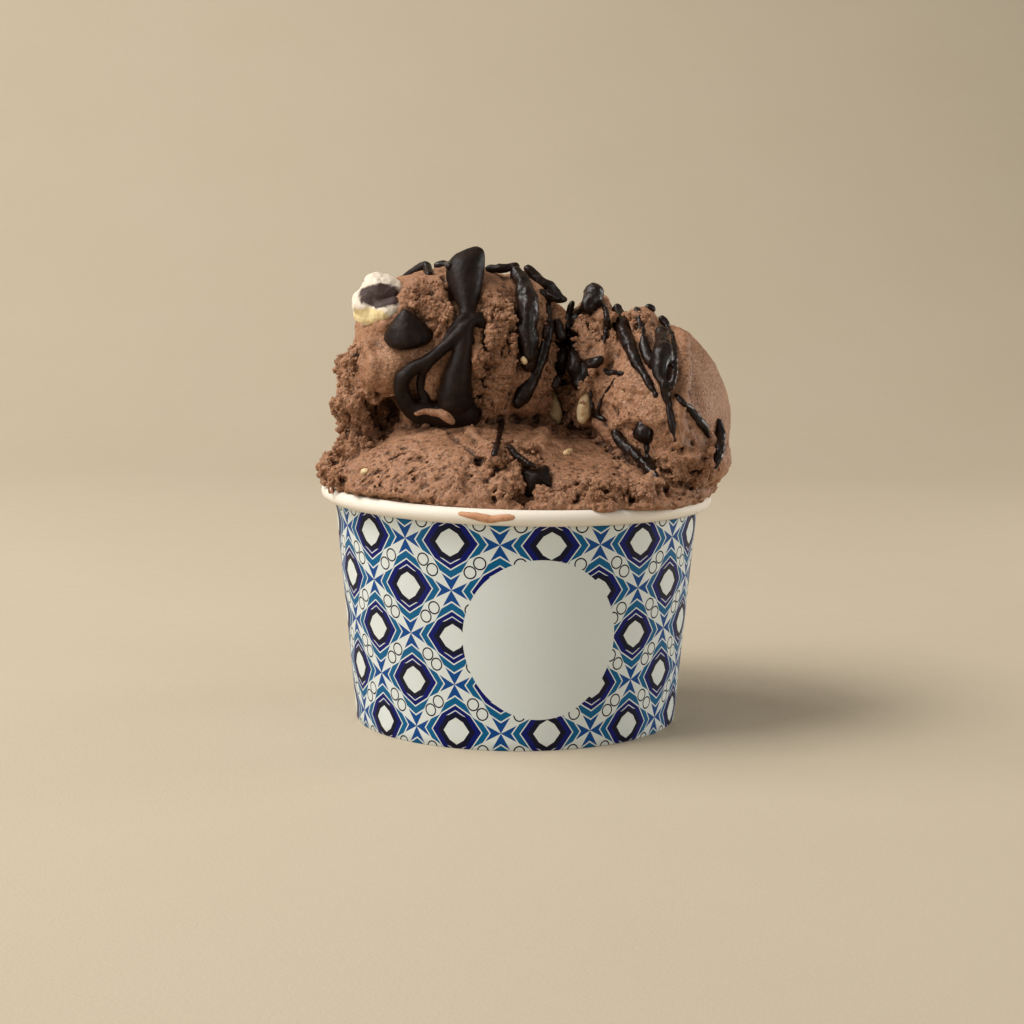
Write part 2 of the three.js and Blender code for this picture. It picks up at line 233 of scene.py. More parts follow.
# Smooth noise between about -1 and 1, with features of the given size
def noise(points, size, seed):
    table = (np.random.default_rng(seed).random(tableSide**3) * 3 - 1.5).astype(np.float32)
    scaled = points / np.float32(size)
    base = np.floor(scaled).astype(np.int32)
    part = scaled - base
    part = part * part * (3 - 2 * part)
    shares = [(1 - part[:, a], part[:, a]) for a in range(3)]
    cells = [(base[:, a] % tableSide, (base[:, a] + 1) % tableSide) for a in range(3)]
    total = np.zeros(len(points), np.float32)
    for i, j, k in np.ndindex(2, 2, 2):
        at = (cells[0][i] * tableSide + cells[1][j]) * tableSide + cells[2][k]
        total += shares[0][i] * shares[1][j] * shares[2][k] * table[at]
    return total


# How far each point is inside any of some zones, each (x, y, z, reach along x, y, z)
def inZones(points, zones):
    total = np.zeros(len(points), np.float32)
    for *centre, rx, ry, rz in zones:
        away = (points - np.float32(centre)) / np.float32([rx, ry, rz])
        total = np.maximum(total, 1 - ease(0.5, 1.2, np.sqrt((away * away).sum(1))))
    return total


# ---- paper tub ----

tubLook = {
    "rim": 47.5,
    "foot": 39.2,
    "height": 57.0,
    "lean": 1.2,  # degrees that the rim falls to the right
    "roll": 1.85,
    "paper": 0.5,
    "fold": 1.3,
    "recess": 6.0,
    "base": 0.6,
    "gap": 0.3,
    "turns": 256,
    "seam": 0.3,  # the sheet laps over itself at the back
    "seamWidth": 9.0,
}


# Turns a closed outline of (radius, height) about the axis, with the print's place in a UV map
def turn(name, outline, look, outside=()):
    outline = np.array(outline, float)
    turns, count = look["turns"], len(outline)
    angles = np.arange(turns) * 2 * math.pi / turns
    radius = np.repeat(outline[None, :, 0], turns, 0)
    behind = np.abs((angles - math.pi)[:, None] * look["foot"])
    lap = look["seam"] * (1 - ease(0.35, 0.5, behind / look["seamWidth"]))
    for i in outside:
        radius[:, i] += lap[:, 0]
    height = np.repeat(outline[None, :, 1], turns, 0)
    x = radius * np.sin(angles)[:, None]
    y = -radius * np.cos(angles)[:, None]
    height = height * (1 - x * math.tan(math.radians(look["lean"])) / look["height"])
    points = np.stack([x, y, height], -1).reshape(-1, 3)
    i, j = np.meshgrid(np.arange(turns), np.arange(count), indexing="ij")
    a, b = i * count + j, i * count + (j + 1) % count
    c, d = (i + 1) % turns * count + (j + 1) % count, (i + 1) % turns * count + j
    faces = np.stack([a, d, c, b], -1).reshape(-1, 4)
    obj = newObject(name, points, faces)
    uv = obj.data.uv_layers.new(name="print")
    # the sheet starts and ends at the back
    along = np.stack([i, i + 1, i + 1, i], -1) / turns - (i >= turns // 2)[..., None]
    up = outline[:, 1][np.stack([j, j, (j + 1) % count, (j + 1) % count], -1)]
    printed = np.isin(j, outside) & np.isin((j + 1) % count, outside)
    up = np.where(printed[..., None], up, 2 * look["height"])
    uv.data.foreach_set("uv", np.stack([along, up / look["height"]], -1).astype(np.float32).ravel())
    return obj


def wallOutline(look):
    centre = (look["rim"] - look["roll"], look["height"] - look["roll"])
    innerRim = look["rim"] - 2 * look["roll"]
    footIn = look["foot"] - look["paper"]

    def inner(z):
        return footIn + (innerRim - footIn) * z / centre[1]

    outline = [(look["foot"] - look["fold"], 0.15), (look["foot"] - look["fold"] + 0.15, 0)]
    outline += [(look["foot"] - 0.15, 0), (look["foot"], 0.15)]
    top = (centre[0] - 0.766 * look["roll"], centre[1] - 0.643 * look["roll"])
    steps = 24
    for k in range(1, steps):
        t = k / steps
        outline.append((look["foot"] + (top[0] - look["foot"]) * t, 0.15 + (top[1] - 0.15) * t))
    firstRoll = len(outline)
    for k in range(29):
        angle = math.radians(-140 + 320 * k / 28)
        outline.append((centre[0] + look["roll"] * math.cos(angle), centre[1] + look["roll"] * math.sin(angle)))
    outline += [(inner(z), z) for z in (45, 30, 15, look["recess"])]
    outline.append((look["foot"] - look["fold"] + 0.3, look["recess"]))
    return outline, range(2, firstRoll + 1)


outline, outside = wallOutline(tubLook)
tubWall = turn("tubWall", outline, tubLook, outside)
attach(tubWall, "root")
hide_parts("cup_wall")
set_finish(tubWall, "printed_paper")

baseLook = {"radius": 37.6, "bottom": 5.6, "top": 6.6, "turns": 128, "seam": 0, "seamWidth": 9, "foot": 39.2}
baseLook.update({"lean": tubLook["lean"], "height": tubLook["height"]})


def discOutline(look):
    radius, bottom, top = look["radius"], look["bottom"], look["top"]
    rings = [radius * k / 8 for k in range(1, 8)]
    outline = [(0.05, bottom)] + [(r, bottom) for r in rings] + [(radius, bottom - 0.25)]
    return outline + [(radius, top)] + [(r, top) for r in reversed(rings)] + [(0.05, top)]


tubBase = turn("tubBase", discOutline(baseLook), baseLook)
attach(tubBase, "root")
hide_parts("cup_base")
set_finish(tubBase, "plain_paper")
print("tub made")

# ---- gelato ----

gelatoLook = {
    "cell": 0.36,  # the finest form that is modelled
    "rounding": 0.8,
    "pocket": 0.8,
    "most": 195000,  # triangles
    "mostBack": 160000,  # more than that before all of it is thinned evenly
    "back": 4.0,  # where the back starts
    "crest": -2.0,  # depth of the highest part
    "lumps": [(5.2, 2.4, 3), (2.6, 1.6, 4), (1.35, 0.9, 5)],  # size, depth, seed
    # deep hollows: middle and reach
    "hollows": [
        (-30.2, -20, 75.6, 4.2, 15, 4.6), (-31.6, -20, 71.4, 3.0, 12, 2.6), (10.2, -18, 88, 3.2, 11, 10.5),
        (12.2, -18, 79.4, 2.4, 11, 4.6), (1.3, -42, 58.8, 2.0, 5, 1.5), (35.8, -37, 59.8, 4.2, 9, 2.5),
    ],
    # torn, crumbling places
    "torn": [
        (-4, -19, 92, 7, 9, 19), (-20, -17, 102, 9, 10, 8), (-39, -8, 86, 6, 10, 7), (-38, -12, 74, 9, 13, 10),
        (-7, -20, 83, 6, 8, 12), (12, -8, 88, 9, 18, 19), (27, -12, 96, 7, 9, 7), (-1, -31, 67, 9, 12, 6),
        (3, -40, 59, 9, 8, 4.5), (22, -38, 60, 15, 8, 4), (-44, -12, 62, 6, 18, 6), (8, 24, 84, 24, 18, 13),
        (38, -24, 64, 12, 9, 5), (-30, 24, 66, 14, 14, 8),
    ],
    # stretches that the paddle left smooth
    "smooth": [
        (-18.5, -18, 104.5, 3.6, 6, 3), (-28, -21, 86, 8, 7, 6.5), (-17, -22, 84, 4, 7, 7), (46, -6, 80, 11, 22, 17),
        (34, -33, 60, 4, 7, 4), (12, -30, 66, 8, 9, 5), (-16, 12, 98, 14, 16, 12), (30, 16, 84, 16, 16, 16),
    ],
    # where the paddle's stroke opened small holes
    "pitted": [(-22, -34, 63, 26, 18, 8.5), (12, -36, 66, 14, 14, 7), (26, -26, 72, 11, 14, 8), (-20, 12, 90, 20, 18, 14)],
    # where ice shows
    "frosty": [(46, -6, 82, 12, 24, 18), (24, -24, 70, 12, 10, 7), (-28, -21, 87, 8, 7, 7), (28, -20, 82, 9, 9, 9)],
    # cracks over the front: (x, z) along each, and half its width
    "tears": [
        ([(-24.3, 73.4), (-17.5, 72.6), (-10.6, 68.8), (-7.6, 66)], 0.9),
        ([(-10.4, 64.6), (-11.4, 62.4), (-7.8, 59.4)], 0.8),
        ([(-6.2, 67.4), (-4.4, 65.4), (-6, 63)], 0.8),
        ([(-2, 70), (1.4, 67.4), (2.2, 64.2)], 0.8),
        ([(6.6, 63.4), (10.8, 64.6), (15.4, 66)], 0.6),
        ([(22.6, 72.8), (23.4, 68.6), (27.4, 64.6)], 0.8),
        ([(12, 58.8), (17, 60.4), (24, 59.6), (30, 60.8)], 0.7),
        ([(-43, 64.6), (-39.4, 68), (-34, 69.6)], 0.8),
        ([(-44, 61.4), (-38, 63.4), (-33, 64)], 0.5),
        ([(-9, 92), (-8, 86), (-9.6, 80), (-8, 75)], 1.3),
        ([(-3, 84), (-2, 79), (-4, 75)], 0.9),
        ([(36.6, 66), (40, 62.6), (44, 62)], 0.8),
        ([(20, 88), (22.4, 83), (21.6, 78)], 0.6),
    ],
    # ridges that a tool or a fold raised
    "ridges": [
        ([(38.4, 95), (39.6, 88), (38.6, 81), (37.4, 75), (37.4, 70)], 1.0),
        ([(23.2, 72.8), (25.6, 75.2), (29.4, 76), (32.8, 74.4)], 1.0),
        ([(20.4, 84.6), (25, 82.6), (30.4, 82)], 0.6),
        ([(19.8, 82), (24.4, 80.4), (29.6, 79.2)], 0.6),
        ([(20, 79.6), (25.4, 78.2), (31, 78)], 0.5),
        ([(-36, 92.4), (-33.4, 88), (-34, 83.4)], 0.9),
        ([(-34.4, 80.4), (-30, 79.2), (-27, 79.6)], 0.9),
        ([(-11.4, 72.6), (-8, 70.4), (-5.4, 66.6)], 1.0),
        ([(-10, 91.6), (-9.8, 87)], 0.7),
        ([(5.6, 77), (6.8, 72), (4.6, 67)], 0.9),
        ([(18.8, 79), (19.6, 74), (22, 70)], 0.7),
        ([(20.8, 97.6), (20.4, 100.4), (20, 102)], 1.7),
        ([(41.6, 60.8), (43.8, 63.4), (45.2, 67.4)], 1.3),
        ([(28.4, 60.6), (31.4, 62.2), (33.2, 60.8)], 1.2),
    ],
}

cadGelato = treeOf(nodes["gelato"])


# Depths of the (x, z) points of a route at the nearest of some surfaces, each with how far a point sinks in
# it. A point past every surface takes the depth of its neighbour, or of the crest.
def frontDepths(route, surfaces):
    depths = np.full(len(route), np.nan)
    for i, (x, z) in enumerate(route):
        for tree, sink in surfaces:
            hit = tree.ray_cast(Vector((x, -90, z)), Vector((0, 1, 0)))[0]
            if hit:
                depths[i] = np.fmin(depths[i], hit.y + sink[i])
    known = np.nonzero(~np.isnan(depths))[0]
    if not len(known):
        return np.full(len(route), gelatoLook["crest"])
    return np.interp(np.arange(len(depths)), known, depths[known])


# A route laid on the nearest of some surfaces, and moved out by the given distance
def onFront(trees, route, out=0.0):
    depths = frontDepths(route, [(tree, np.full(len(route), -out)) for tree in trees])
    return np.stack([route[:, 0], depths, route[:, 1]], -1)


# More points along a route, on a smooth curve through it
def smoothRoute(route, halves, parts=5):
    route = np.asarray(route, float)
    halves = np.broadcast_to(halves, len(route)).astype(float)
    padded = np.vstack([2 * route[0] - route[1], route, 2 * route[-1] - route[-2]])
    points, sizes = [], []
    for i in range(len(route) - 1):
        p0, p1, p2, p3 = padded[i : i + 4]
        for t in np.linspace(0, 1, parts, endpoint=i == len(route) - 2):
            a, b, c = p2 - p0, 2 * p0 - 5 * p1 + 4 * p2 - p3, 3 * p1 - p0 - 3 * p2 + p3
            points.append(p1 + 0.5 * (a * t + b * t * t + c * t**3))
            sizes.append(halves[i] + (halves[i + 1] - halves[i]) * t)
    return np.array(points), np.array(sizes)


def sculptGelato(look):
    cell = look["cell"]
    points, triangles = meshOf(nodes["gelato"])
    space = Space(points.min(0) - 3, points.max(0) + 3, cell)
    clear = np.full(space.shape, 5, np.float32)  # distance to the nearest topping
    for name in toppingNames:
        clear = np.minimum(clear, space.distance(*meshOf(nodes[name]), band=5))
    # the pockets under the toppings are filled nearly up to them
    whole = np.minimum(space.distance(points, triangles, band=5), clear + look["pocket"])
    whole = blur(whole, look["rounding"], cell)
    for route, half in look["tears"]:
        flat, halves = smoothRoute(route, half)
        halves = halves * (0.7 + 0.45 * np.sin(np.arange(len(halves)) * 2.1))
        whole = space.route(whole, onFront([cadGelato], flat), halves, soft=0.5, cut=True)
    for route, half in look["ridges"]:
        flat, halves = smoothRoute(route, half)
        halves = halves * (0.8 + 0.3 * np.sin(np.arange(len(halves)) * 1.3))
        whole = space.route(whole, onFront([cadGelato], flat, -0.4 * half), halves, soft=1.6)
    heights = (np.arange(space.shape[2]) + space.low[2]) * cell
    near = np.nonzero((np.abs(whole) < 3.4) & (heights > 48))
    at = space.places(near)
    print("gelato cells near the surface:", len(at))

    torn = inZones(at, look["torn"]) * (1 - 0.8 * inZones(at, look["smooth"]))
    plain = inZones(at, look["smooth"]) * (1 - torn)
    broad = 0.6 * noise(at, 9, 1) + 0.35 * noise(at, 4.6, 2)
    bent = at + noise(at, 3.1, 9)[:, None] * np.float32([0.8, -0.7, 0.6])
    bent += noise(at, 1.5, 13)[:, None] * np.float32([-0.3, 0.3, 0.3])
    # lumps with sharp clefts between them, at three sizes, and holes
    tornForm = np.zeros(len(at), np.float32)
    for size, depth, seed in look["lumps"]:
        tornForm += depth * (np.abs(noise(bent, size, seed)) - 0.36)
    tornForm -= 2.7 * ease(0.45, 0.95, noise(bent, 2.9, 12))
    # short pits that lie along the paddle's stroke
    along = at @ np.float32([[0.86, 0, -0.5], [0, 1, 0], [0.5, 0, 0.86]])
    pits = ease(0.5, 0.85, noise(along / np.float32([2.1, 0.95, 0.8]), 1, 6))
    pits += 0.6 * ease(0.45, 0.8, noise(along / np.float32([1.3, 0.8, 0.7]), 1, 7))
    pits *= 0.3 + 0.7 * ease(-0.4, 0.3, noise(at, 8, 8))
    pits *= 1 - 0.7 * ease(66, 72, at[:, 2])
    plainForm = 0.2 * noise(at, 2.4, 10) + 0.2 * noise(at, 1.1, 11) - 0.9 * pits
    form = torn * tornForm + (1 - torn) * (1 - 0.8 * plain) * plainForm + broad * (0.45 + 0.55 * torn)
    # it fades next to what is pressed in, and below the rim
    freedom = ease(0.1, 1.6, clear[near])
    form = np.where(form > 0, freedom, 0.3 + 0.7 * freedom) * form * ease(49, 56, at[:, 2])
    # it is pressed out against the rim
    out = np.hypot(at[:, 0], at[:, 1])
    whole[near] -= form + 0.9 * ease(40.5, 42.5, out) * (1 - ease(56.6, 58.4, at[:, 2]))
    for x, y, z, *reach in look["hollows"]:
        away = (at - np.float32([x, y, z])) / np.float32(reach)
        gap = (np.sqrt((away * away).sum(1)) - 1) * min(reach) + 0.5 * noise(at, 2.6, 14) + 0.3 * noise(at, 1.2, 15)
        whole[near] = np.maximum(whole[near], -gap * ease(0.2, 1.2, clear[near] + 0.5))
    whole = np.maximum(whole, 0.1 - space.distance(*meshOf(tubWall), band=2))
    heap = newObject("gelatoHeap", *space.surface(whole))
    thin(heap, look["most"] + look["mostBack"], pointsOf(heap)[:, 1] > look["back"])
    thin(heap, look["most"])
    points = pointsOf(heap)
    # how far a place lies below what is round it, which sets how much painted shade its colour gets
    setAttribute(heap, "paintedHollowShade", ease(0.02, 0.5, -space.sample(blur(whole, 1.1, cell), points)))
    setAttribute(heap, "torn", inZones(points, look["torn"]))
    setAttribute(heap, "frosty", inZones(points, look["frosty"]))
    setAttribute(heap, "pitted", inZones(points, look["pitted"]))
    print("gelato sculpted:", len(heap.data.polygons), "faces")
    return heap, Field(space, clear)


gelatoHeap, clearance = sculptGelato(gelatoLook)
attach(gelatoHeap, "root")
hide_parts("gelato")
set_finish(gelatoHeap, "gelato")
gelatoFront = treeOf(gelatoHeap)

# ---- chocolate, nuts and the pale chunk ----

# Routes as (x, z) with half thicknesses. A topping of its own is made of them only; another one is the CAD
# form, rounded, with them added.
toppingLook = {
    "chocolate_spire": {
        "own": True,
        "most": 16000,
        "routes": [
            (
                [(-9.6, 113.3), (-10.5, 111.9), (-12.2, 109.5), (-12.4, 107.4), (-11.9, 104.3), (-11.7, 100.8)],
                [1.5, 2.4, 4.2, 3.9, 2.9, 1.8],
            ),
            ([(-11.7, 100.8), (-11.7, 97.6), (-12.3, 92.5), (-13.4, 87.4), (-14.2, 83), (-14.6, 79.2)],
             [1.8, 1.5, 1.6, 2.5, 3.3, 4.1]),
            ([(-10.5, 98.6), (-8.4, 97.3), (-7.6, 94.4), (-7.2, 91.1)], [1.0, 1.1, 0.8, 0.3]),
            ([(-12.4, 98.9), (-15.5, 95.4), (-17.3, 92.6)], [0.8, 0.7, 0.4]),
            ([(-8.4, 99.4), (-11.7, 96.8), (-15.5, 93.2), (-19.9, 89.3), (-24.1, 86.9), (-26.7, 84.6)],
             [0.6, 1.1, 1.2, 1.2, 1.3, 1.5]),
            ([(-26.7, 84.6), (-27, 81.7), (-25.5, 77.9), (-22.8, 75.4)], [1.5, 1.5, 1.7, 1.9]),
            ([(-20.5, 88.1), (-22.2, 85.4), (-22.4, 82), (-21.3, 79.2)], [0.6, 0.7, 0.8, 1.0]),
            ([(-22.8, 77), (-19.3, 76), (-15.5, 76), (-12.4, 76), (-11, 74.4)], [2.2, 2.3, 3.0, 3.2, 1.8]),
        ],
        "rough": 0.08,
    },
    "chocolate_kiss": {"rough": 0.08},
    "pale_chunk": {
        "routes": [([(-37.9, 98.4), (-34.6, 98), (-31, 99.8), (-28.6, 101.4)], [0.7, 1.9, 2.2, 1.8])],
        "rounding": 0.4,
        "rough": 0.3,
    },
    "chocolate_chunk": {"rounding": 0.15, "rough": 0.25},
    "nut_left": {"rounding": 0.25, "rough": 0.12},
    "nut_right": {"rounding": 0.25, "rough": 0.12},
    "chocolate_band_long": {
        "own": True,
        "routes": [
            ([(-0.6, 109.2), (1.7, 105.2), (2.5, 100.8), (2.3, 95.7), (3, 90.6), (2.7, 86.8)],
             [1.2, 2.0, 2.5, 2.4, 2.0, 1.2]),
        ],
    },
    "chocolate_band_hook": {
        "own": True,
        "routes": [
            ([(7.8, 100.1), (7.3, 93.8), (5.5, 88.1), (3.2, 83), (1.3, 80.1), (0.3, 78.2)],
             [0.6, 0.8, 1.3, 1.5, 1.6, 1.0]),
        ],
    },
    "chocolate_band_crest": {
        "own": True,
        "routes": [
            ([(2.3, 109.8), (4.7, 107.1), (7.9, 105.3), (10.1, 103)], [0.8, 1.1, 1.3, 0.9]),
            ([(5.5, 104.3), (7.9, 103), (11.4, 102.4)], [0.9, 1.0, 0.8]),
        ],
    },
    "chocolate_crest_drop": {
        "own": True,
        "routes": [
            ([(18.4, 104.2), (18.2, 102.6), (16.6, 100.6)], [2.2, 1.9, 1.4]),
            ([(16.6, 100.6), (15.2, 99.2), (13.3, 95.7), (11.8, 93.8)], [1.4, 1.1, 1.1, 0.6]),
        ],
    },
    "chocolate_valley_pool": {
        "own": True,
        "routes": [
            ([(19.9, 88.7), (17.4, 86.8), (15.8, 84.6), (14.6, 82)], [1.0, 1.6, 1.8, 1.0]),
            ([(13.9, 95.7), (13.5, 91.2), (13.6, 86.8), (14.1, 83.6)], [0.9, 1.0, 1.3, 1.4]),
        ],
    },
    "chocolate_drip_outer": {
        "own": True,
        "routes": [
            ([(24.2, 100.3), (24.7, 97.6), (26, 93.2), (27.5, 89.3), (30.1, 84.9), (32.9, 80.1)],
             [0.8, 1.4, 1.3, 1.0, 0.6, 0.3]),
        ],
    },
    "chocolate_drip_broad": {
        "own": True,
        "routes": [
            ([(28.5, 100.6), (29.1, 97.6), (29.7, 93.8), (30.2, 90.6), (31.8, 87.8)], [0.5, 0.8, 0.8, 1.0, 1.4]),
            ([(34, 95.7), (34.2, 93.2), (33.7, 90), (33.1, 87.4), (34.1, 83.6)], [0.9, 1.6, 2.2, 1.6, 0.8]),
            ([(34.1, 83.6), (35.1, 78.6), (36.1, 73.5), (36.6, 70.6)], [0.8, 0.8, 0.6, 0.3]),
            ([(34.6, 98.2), (36.1, 95.7), (37, 92.5), (36.8, 88.1), (35.8, 83)], [0.5, 0.7, 0.6, 0.6, 0.4]),
        ],
    },
    "chocolate_fork": {
        "own": True,
        "routes": [
            ([(23, 71.9), (25, 69.3), (28.5, 66.5), (31.6, 63)], [0.8, 1.1, 0.9, 1.0]),
            ([(30.2, 69.6), (30.6, 67.8), (31, 65.2), (32.1, 62.7)], [0.6, 0.5, 0.8, 0.9]),
        ],
    },
    "chocolate_drip_side": {
        "own": True,
        "routes": [([(47.5, 74.1), (48.2, 71.6), (47.7, 68.4), (46.5, 64.6)], [0.6, 1.0, 1.1, 0.8])],
    },
}


# Centres of balls that lie behind a topping's front, or sunk in the gelato where it has none
def onTopping(tree, route, halves):
    depths = frontDepths(route, [(tree, 1.1 * halves), (gelatoFront, 0.4 * halves)])
    depths = np.convolve(np.pad(depths, 2, mode="edge"), np.full(5, 0.2), mode="valid")
    return np.stack([route[:, 0], depths, route[:, 1]], -1)


def makeTopping(name, look):
    cell = 0.2
    points, triangles = meshOf(nodes[name])
    tree = treeOf(nodes[name])
    space = Space(points.min(0) - 6, points.max(0) + 6, cell)
    if look.get("own"):
        values = np.full(space.shape, 3, np.float32)
    else:
        values = blur(space.distance(points, triangles, band=3), look.get("rounding", 0.5), cell) - 0.12
    for route, halves in look.get("routes", []):
        flat, sizes = smoothRoute(route, halves)
        values = space.route(values, onTopping(tree, flat, sizes), sizes, soft=0.8)
    near = np.nonzero(np.abs(values) < 1.5)
    at = space.places(near)
    rough = look.get("rough", 0.24)
    values[near] -= rough * (noise(at, 2.4, 21) + 0.4 * noise(at, 0.9, 22))
    piece = newObject(name + "_look", *space.surface(values))
    thin(piece, look.get("most", 8000))
    return piece


toppings = {}
for name in toppingNames:
    toppings[name] = makeTopping(name, toppingLook.get(name, {}))
    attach(toppings[name], "root")
    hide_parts(name)
print("toppings made:", len(toppings))

fronts = [gelatoFront] + [treeOf(piece) for piece in (tubWall, *toppings.values())]


# Thin pieces along routes over whatever is in front
def makeThreads(name, look, slot):
    cell = 0.2
    values = None
    placed = []
    for route, halves in look["routes"]:
        flat, sizes = smoothRoute(route, halves)
        placed.append((onFront(fronts, flat, look["out"]), sizes))
    every = np.vstack([spots for spots, _ in placed])
    space = Space(every.min(0) - 4, every.max(0) + 4, cell)
    values = np.full(space.shape, 3, np.float32)
    for spots, sizes in placed:
        values = space.route(values, spots, sizes, soft=0.4)
    near = np.nonzero(np.abs(values) < 1)
    values[near] -= look["rough"] * noise(space.places(near), 1.8, 31)
    piece = newObject(name, *space.surface(values))
    thin(piece, look["most"])
    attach(piece, "root")
    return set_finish(piece, slot)


# Sauce that was drizzled last
threadLook = {
    "out": 0.1,
    "rough": 0.14,
    "most": 40000,
    "routes": [
        ([(7.6, 101.4), (7.1, 97), (6.1, 92.5), (5.1, 88.7), (4.4, 85.5)], [0.6, 0.6, 0.6, 0.6, 0.5]),
        ([(17.4, 81.1), (17.9, 77.9), (18.5, 75.1)], [0.3, 0.5, 0.5]),
        ([(20.8, 86.2), (22.1, 85.5), (24.9, 85.5)], [0.4, 0.6, 0.5]),
        ([(23.1, 84.3), (20.2, 79.2), (19.3, 75.4), (20.7, 74.4)], [0.3, 0.3, 0.5, 0.6]),
        ([(31.5, 100.5), (32.5, 100)], [0.9, 0.8]),
        ([(36.9, 81.2), (40.2, 77.9), (43, 74.4), (44.9, 71.4)], [0.5, 0.8, 1.2, 0.6]),
        ([(-3.5, 73.8), (-4.1, 71.2), (-5.1, 68.4)], [0.6, 0.7, 0.6]),
        ([(-1.6, 69.2), (0.6, 67.4), (3.8, 66)], [0.8, 0.7, 0.6]),
        ([(-21.8, 110.2), (-20.9, 108.4)], [1.0, 0.9]),
        ([(-19.2, 110.2), (-16, 110.4)], [1.0, 0.9]),
        ([(9.6, 97), (10.8, 92), (10.4, 86), (8.6, 81)], [1.0, 1.5, 1.4, 0.7]),
        ([(20.8, 101), (21.4, 97), (20.6, 92.6)], [0.6, 0.7, 0.4]),
        ([(13.2, 101.4), (12.2, 97.6), (12.4, 94)], [0.7, 0.8, 0.5]),
    ],
}
sauceThreads = makeThreads("sauceThreads", threadLook, "chocolate_sauce")

# Gelato that was dragged over the chocolate and the rim
smearLook = {
    "out": 0.1,
    "rough": 0.2,
    "most": 12000,
    "routes": [
        ([(-23.6, 76.3), (-21.5, 76.8), (-18.7, 76.5), (-16.7, 76), (-15.2, 74.6)], [0.4, 0.6, 0.7, 1.2, 0.9]),
        ([(45.4, 71.8), (46, 69.8), (45.2, 67.6)], [0.9, 1.1, 0.8]),
    ],
}
gelatoSmear = makeThreads("gelatoSmear", smearLook, "gelato")

# What dripped on the rim and was wiped thin
rimLook = {
    "out": -0.5,
    "rough": 0.15,
    "most": 6000,
    "routes": [
        ([(-12.6, 56), (-9.8, 55.7), (-7.4, 55.3), (-5.4, 55.1), (-2.6, 55.4), (0, 55.5)],
         [0.5, 0.6, 0.8, 0.95, 0.7, 0.5]),
    ],
}
rimSmear = makeThreads("rimSmear", rimLook, "gelato")

crumbLook = {
    "out": 0.0,
    "rough": 0.1,
    "most": 6000,
    "routes": [
        ([(1.6, 88.8), (1.9, 88.2)], [0.8, 0.6]),
        ([(11.6, 67.2), (12.8, 67.5)], [0.7, 0.5]),
        ([(-35.4, 63.2), (-34.6, 63.5)], [0.7, 0.5]),
    ],
}
nutCrumbs = makeThreads("nutCrumbs", crumbLook, "nut")
print("threads, smears and nut crumbs made")

# ---- torn crumbs of gelato ----

grainLook = {
    "count": 5600,
    "sizes": (0.28, 0.8),  # half of the smallest and the largest, in mm
    "sink": 0.45,  # how much of its size a crumb is pressed in
    "shape": 0.3,  # unevenness
    "seed": 51,
}


# Loose crumbs that stand on the torn places
def makeGrains(name, look):
    mesh = gelatoHeap.data
    count = len(mesh.polygons)
    centres, normals, areas = (np.empty(count * n, np.float32) for n in (3, 3, 1))
    mesh.polygons.foreach_get("center", centres)
    mesh.polygons.foreach_get("normal", normals)
    mesh.polygons.foreach_get("area", areas)
    centres = centres.reshape(-1, 3) / np.float32(mm) - cupAxis.astype(np.float32)
    normals = normals.reshape(-1, 3)
    torn = inZones(centres, gelatoLook["torn"]) * (1 - inZones(centres, gelatoLook["smooth"]))
    torn *= ease(0.6, 1.4, clearance.at(centres)) * ease(57, 60, centres[:, 2])
    chance = areas * torn**2
    random = np.random.default_rng(look["seed"])
    chosen = random.choice(count, look["count"], p=chance / chance.sum())
    gold = (1 + math.sqrt(5)) / 2
    corners = [(0, a, b * gold) for a in (-1, 1) for b in (-1, 1)]
    ball = np.array([corner[-k:] + corner[:-k] if k else corner for k in range(3) for corner in corners], float)
    ball /= np.linalg.norm(ball[0])
    hull = bmesh.new()
    for corner in ball:
        hull.verts.new(corner)
    bmesh.ops.convex_hull(hull, input=hull.verts)
    faces = np.array([[vertex.index for vertex in face.verts] for face in hull.faces])
    hull.free()
    least, most = look["sizes"]
    sizes = least + (most - least) * random.random(look["count"]) ** 2.2
    turns = np.linalg.qr(random.normal(size=(look["count"], 3, 3)))[0]
    forms = ball * (1 + look["shape"] * random.normal(size=(look["count"], 12, 1)))
    forms = forms * random.uniform(0.65, 1.25, (look["count"], 1, 3)) @ turns
    middles = centres[chosen] + normals[chosen] * (sizes * (1 - 2 * look["sink"]))[:, None]
    points = (forms * sizes[:, None, None] + middles[:, None]).reshape(-1, 3)
    faces = (faces[None] + np.arange(look["count"])[:, None, None] * 12).reshape(-1, 3)
    piece = newObject(name, points, faces)
    setAttribute(piece, "torn", np.ones(len(points)))
    # the crumbs get no painted shade of hollows
    setAttribute(piece, "paintedHollowShade", np.zeros(len(points)))
    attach(piece, "root")
    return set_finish(piece, "gelato")


gelatoGrains = makeGrains("gelatoGrains", grainLook)
print("grains made")

# ---- materials ----


def linear(colour):
    parts = [int(colour[i : i + 2], 16) / 255 for i in (1, 3, 5)]
    return [p / 12.92 if p <= 0.04045 else ((p + 0.055) / 1.055) ** 2.4 for p in parts] + [1.0]


# Adds a node with settings by name and with values or other nodes' outputs by the name or number of the
# input, and gives one of its outputs
def addNode(tree, kind, settings=None, links=None, out=0):
    node = tree.nodes.new("ShaderNode" + kind)
    for name, value in (settings or {}).items():
        setattr(node, name, value)
    for name, value in (links or {}).items():
        if isinstance(value, bpy.types.NodeSocket):
            tree.links.new(value, node.inputs[name])
        else:
            node.inputs[name].default_value = value
    return node.outputs[out] if len(node.outputs) else None


def newMaterial(name):
    material = bpy.data.materials.new(name)
    material.use_nodes = True
    material.node_tree.nodes.clear()
    return material, material.node_tree


# Places on an object in millimetres
def millimetres(tree):
    place = addNode(tree, "TexCoord", out="Object")
    return addNode(tree, "VectorMath", {"operation": "SCALE"}, {0: place, "Scale": 1 / mm})


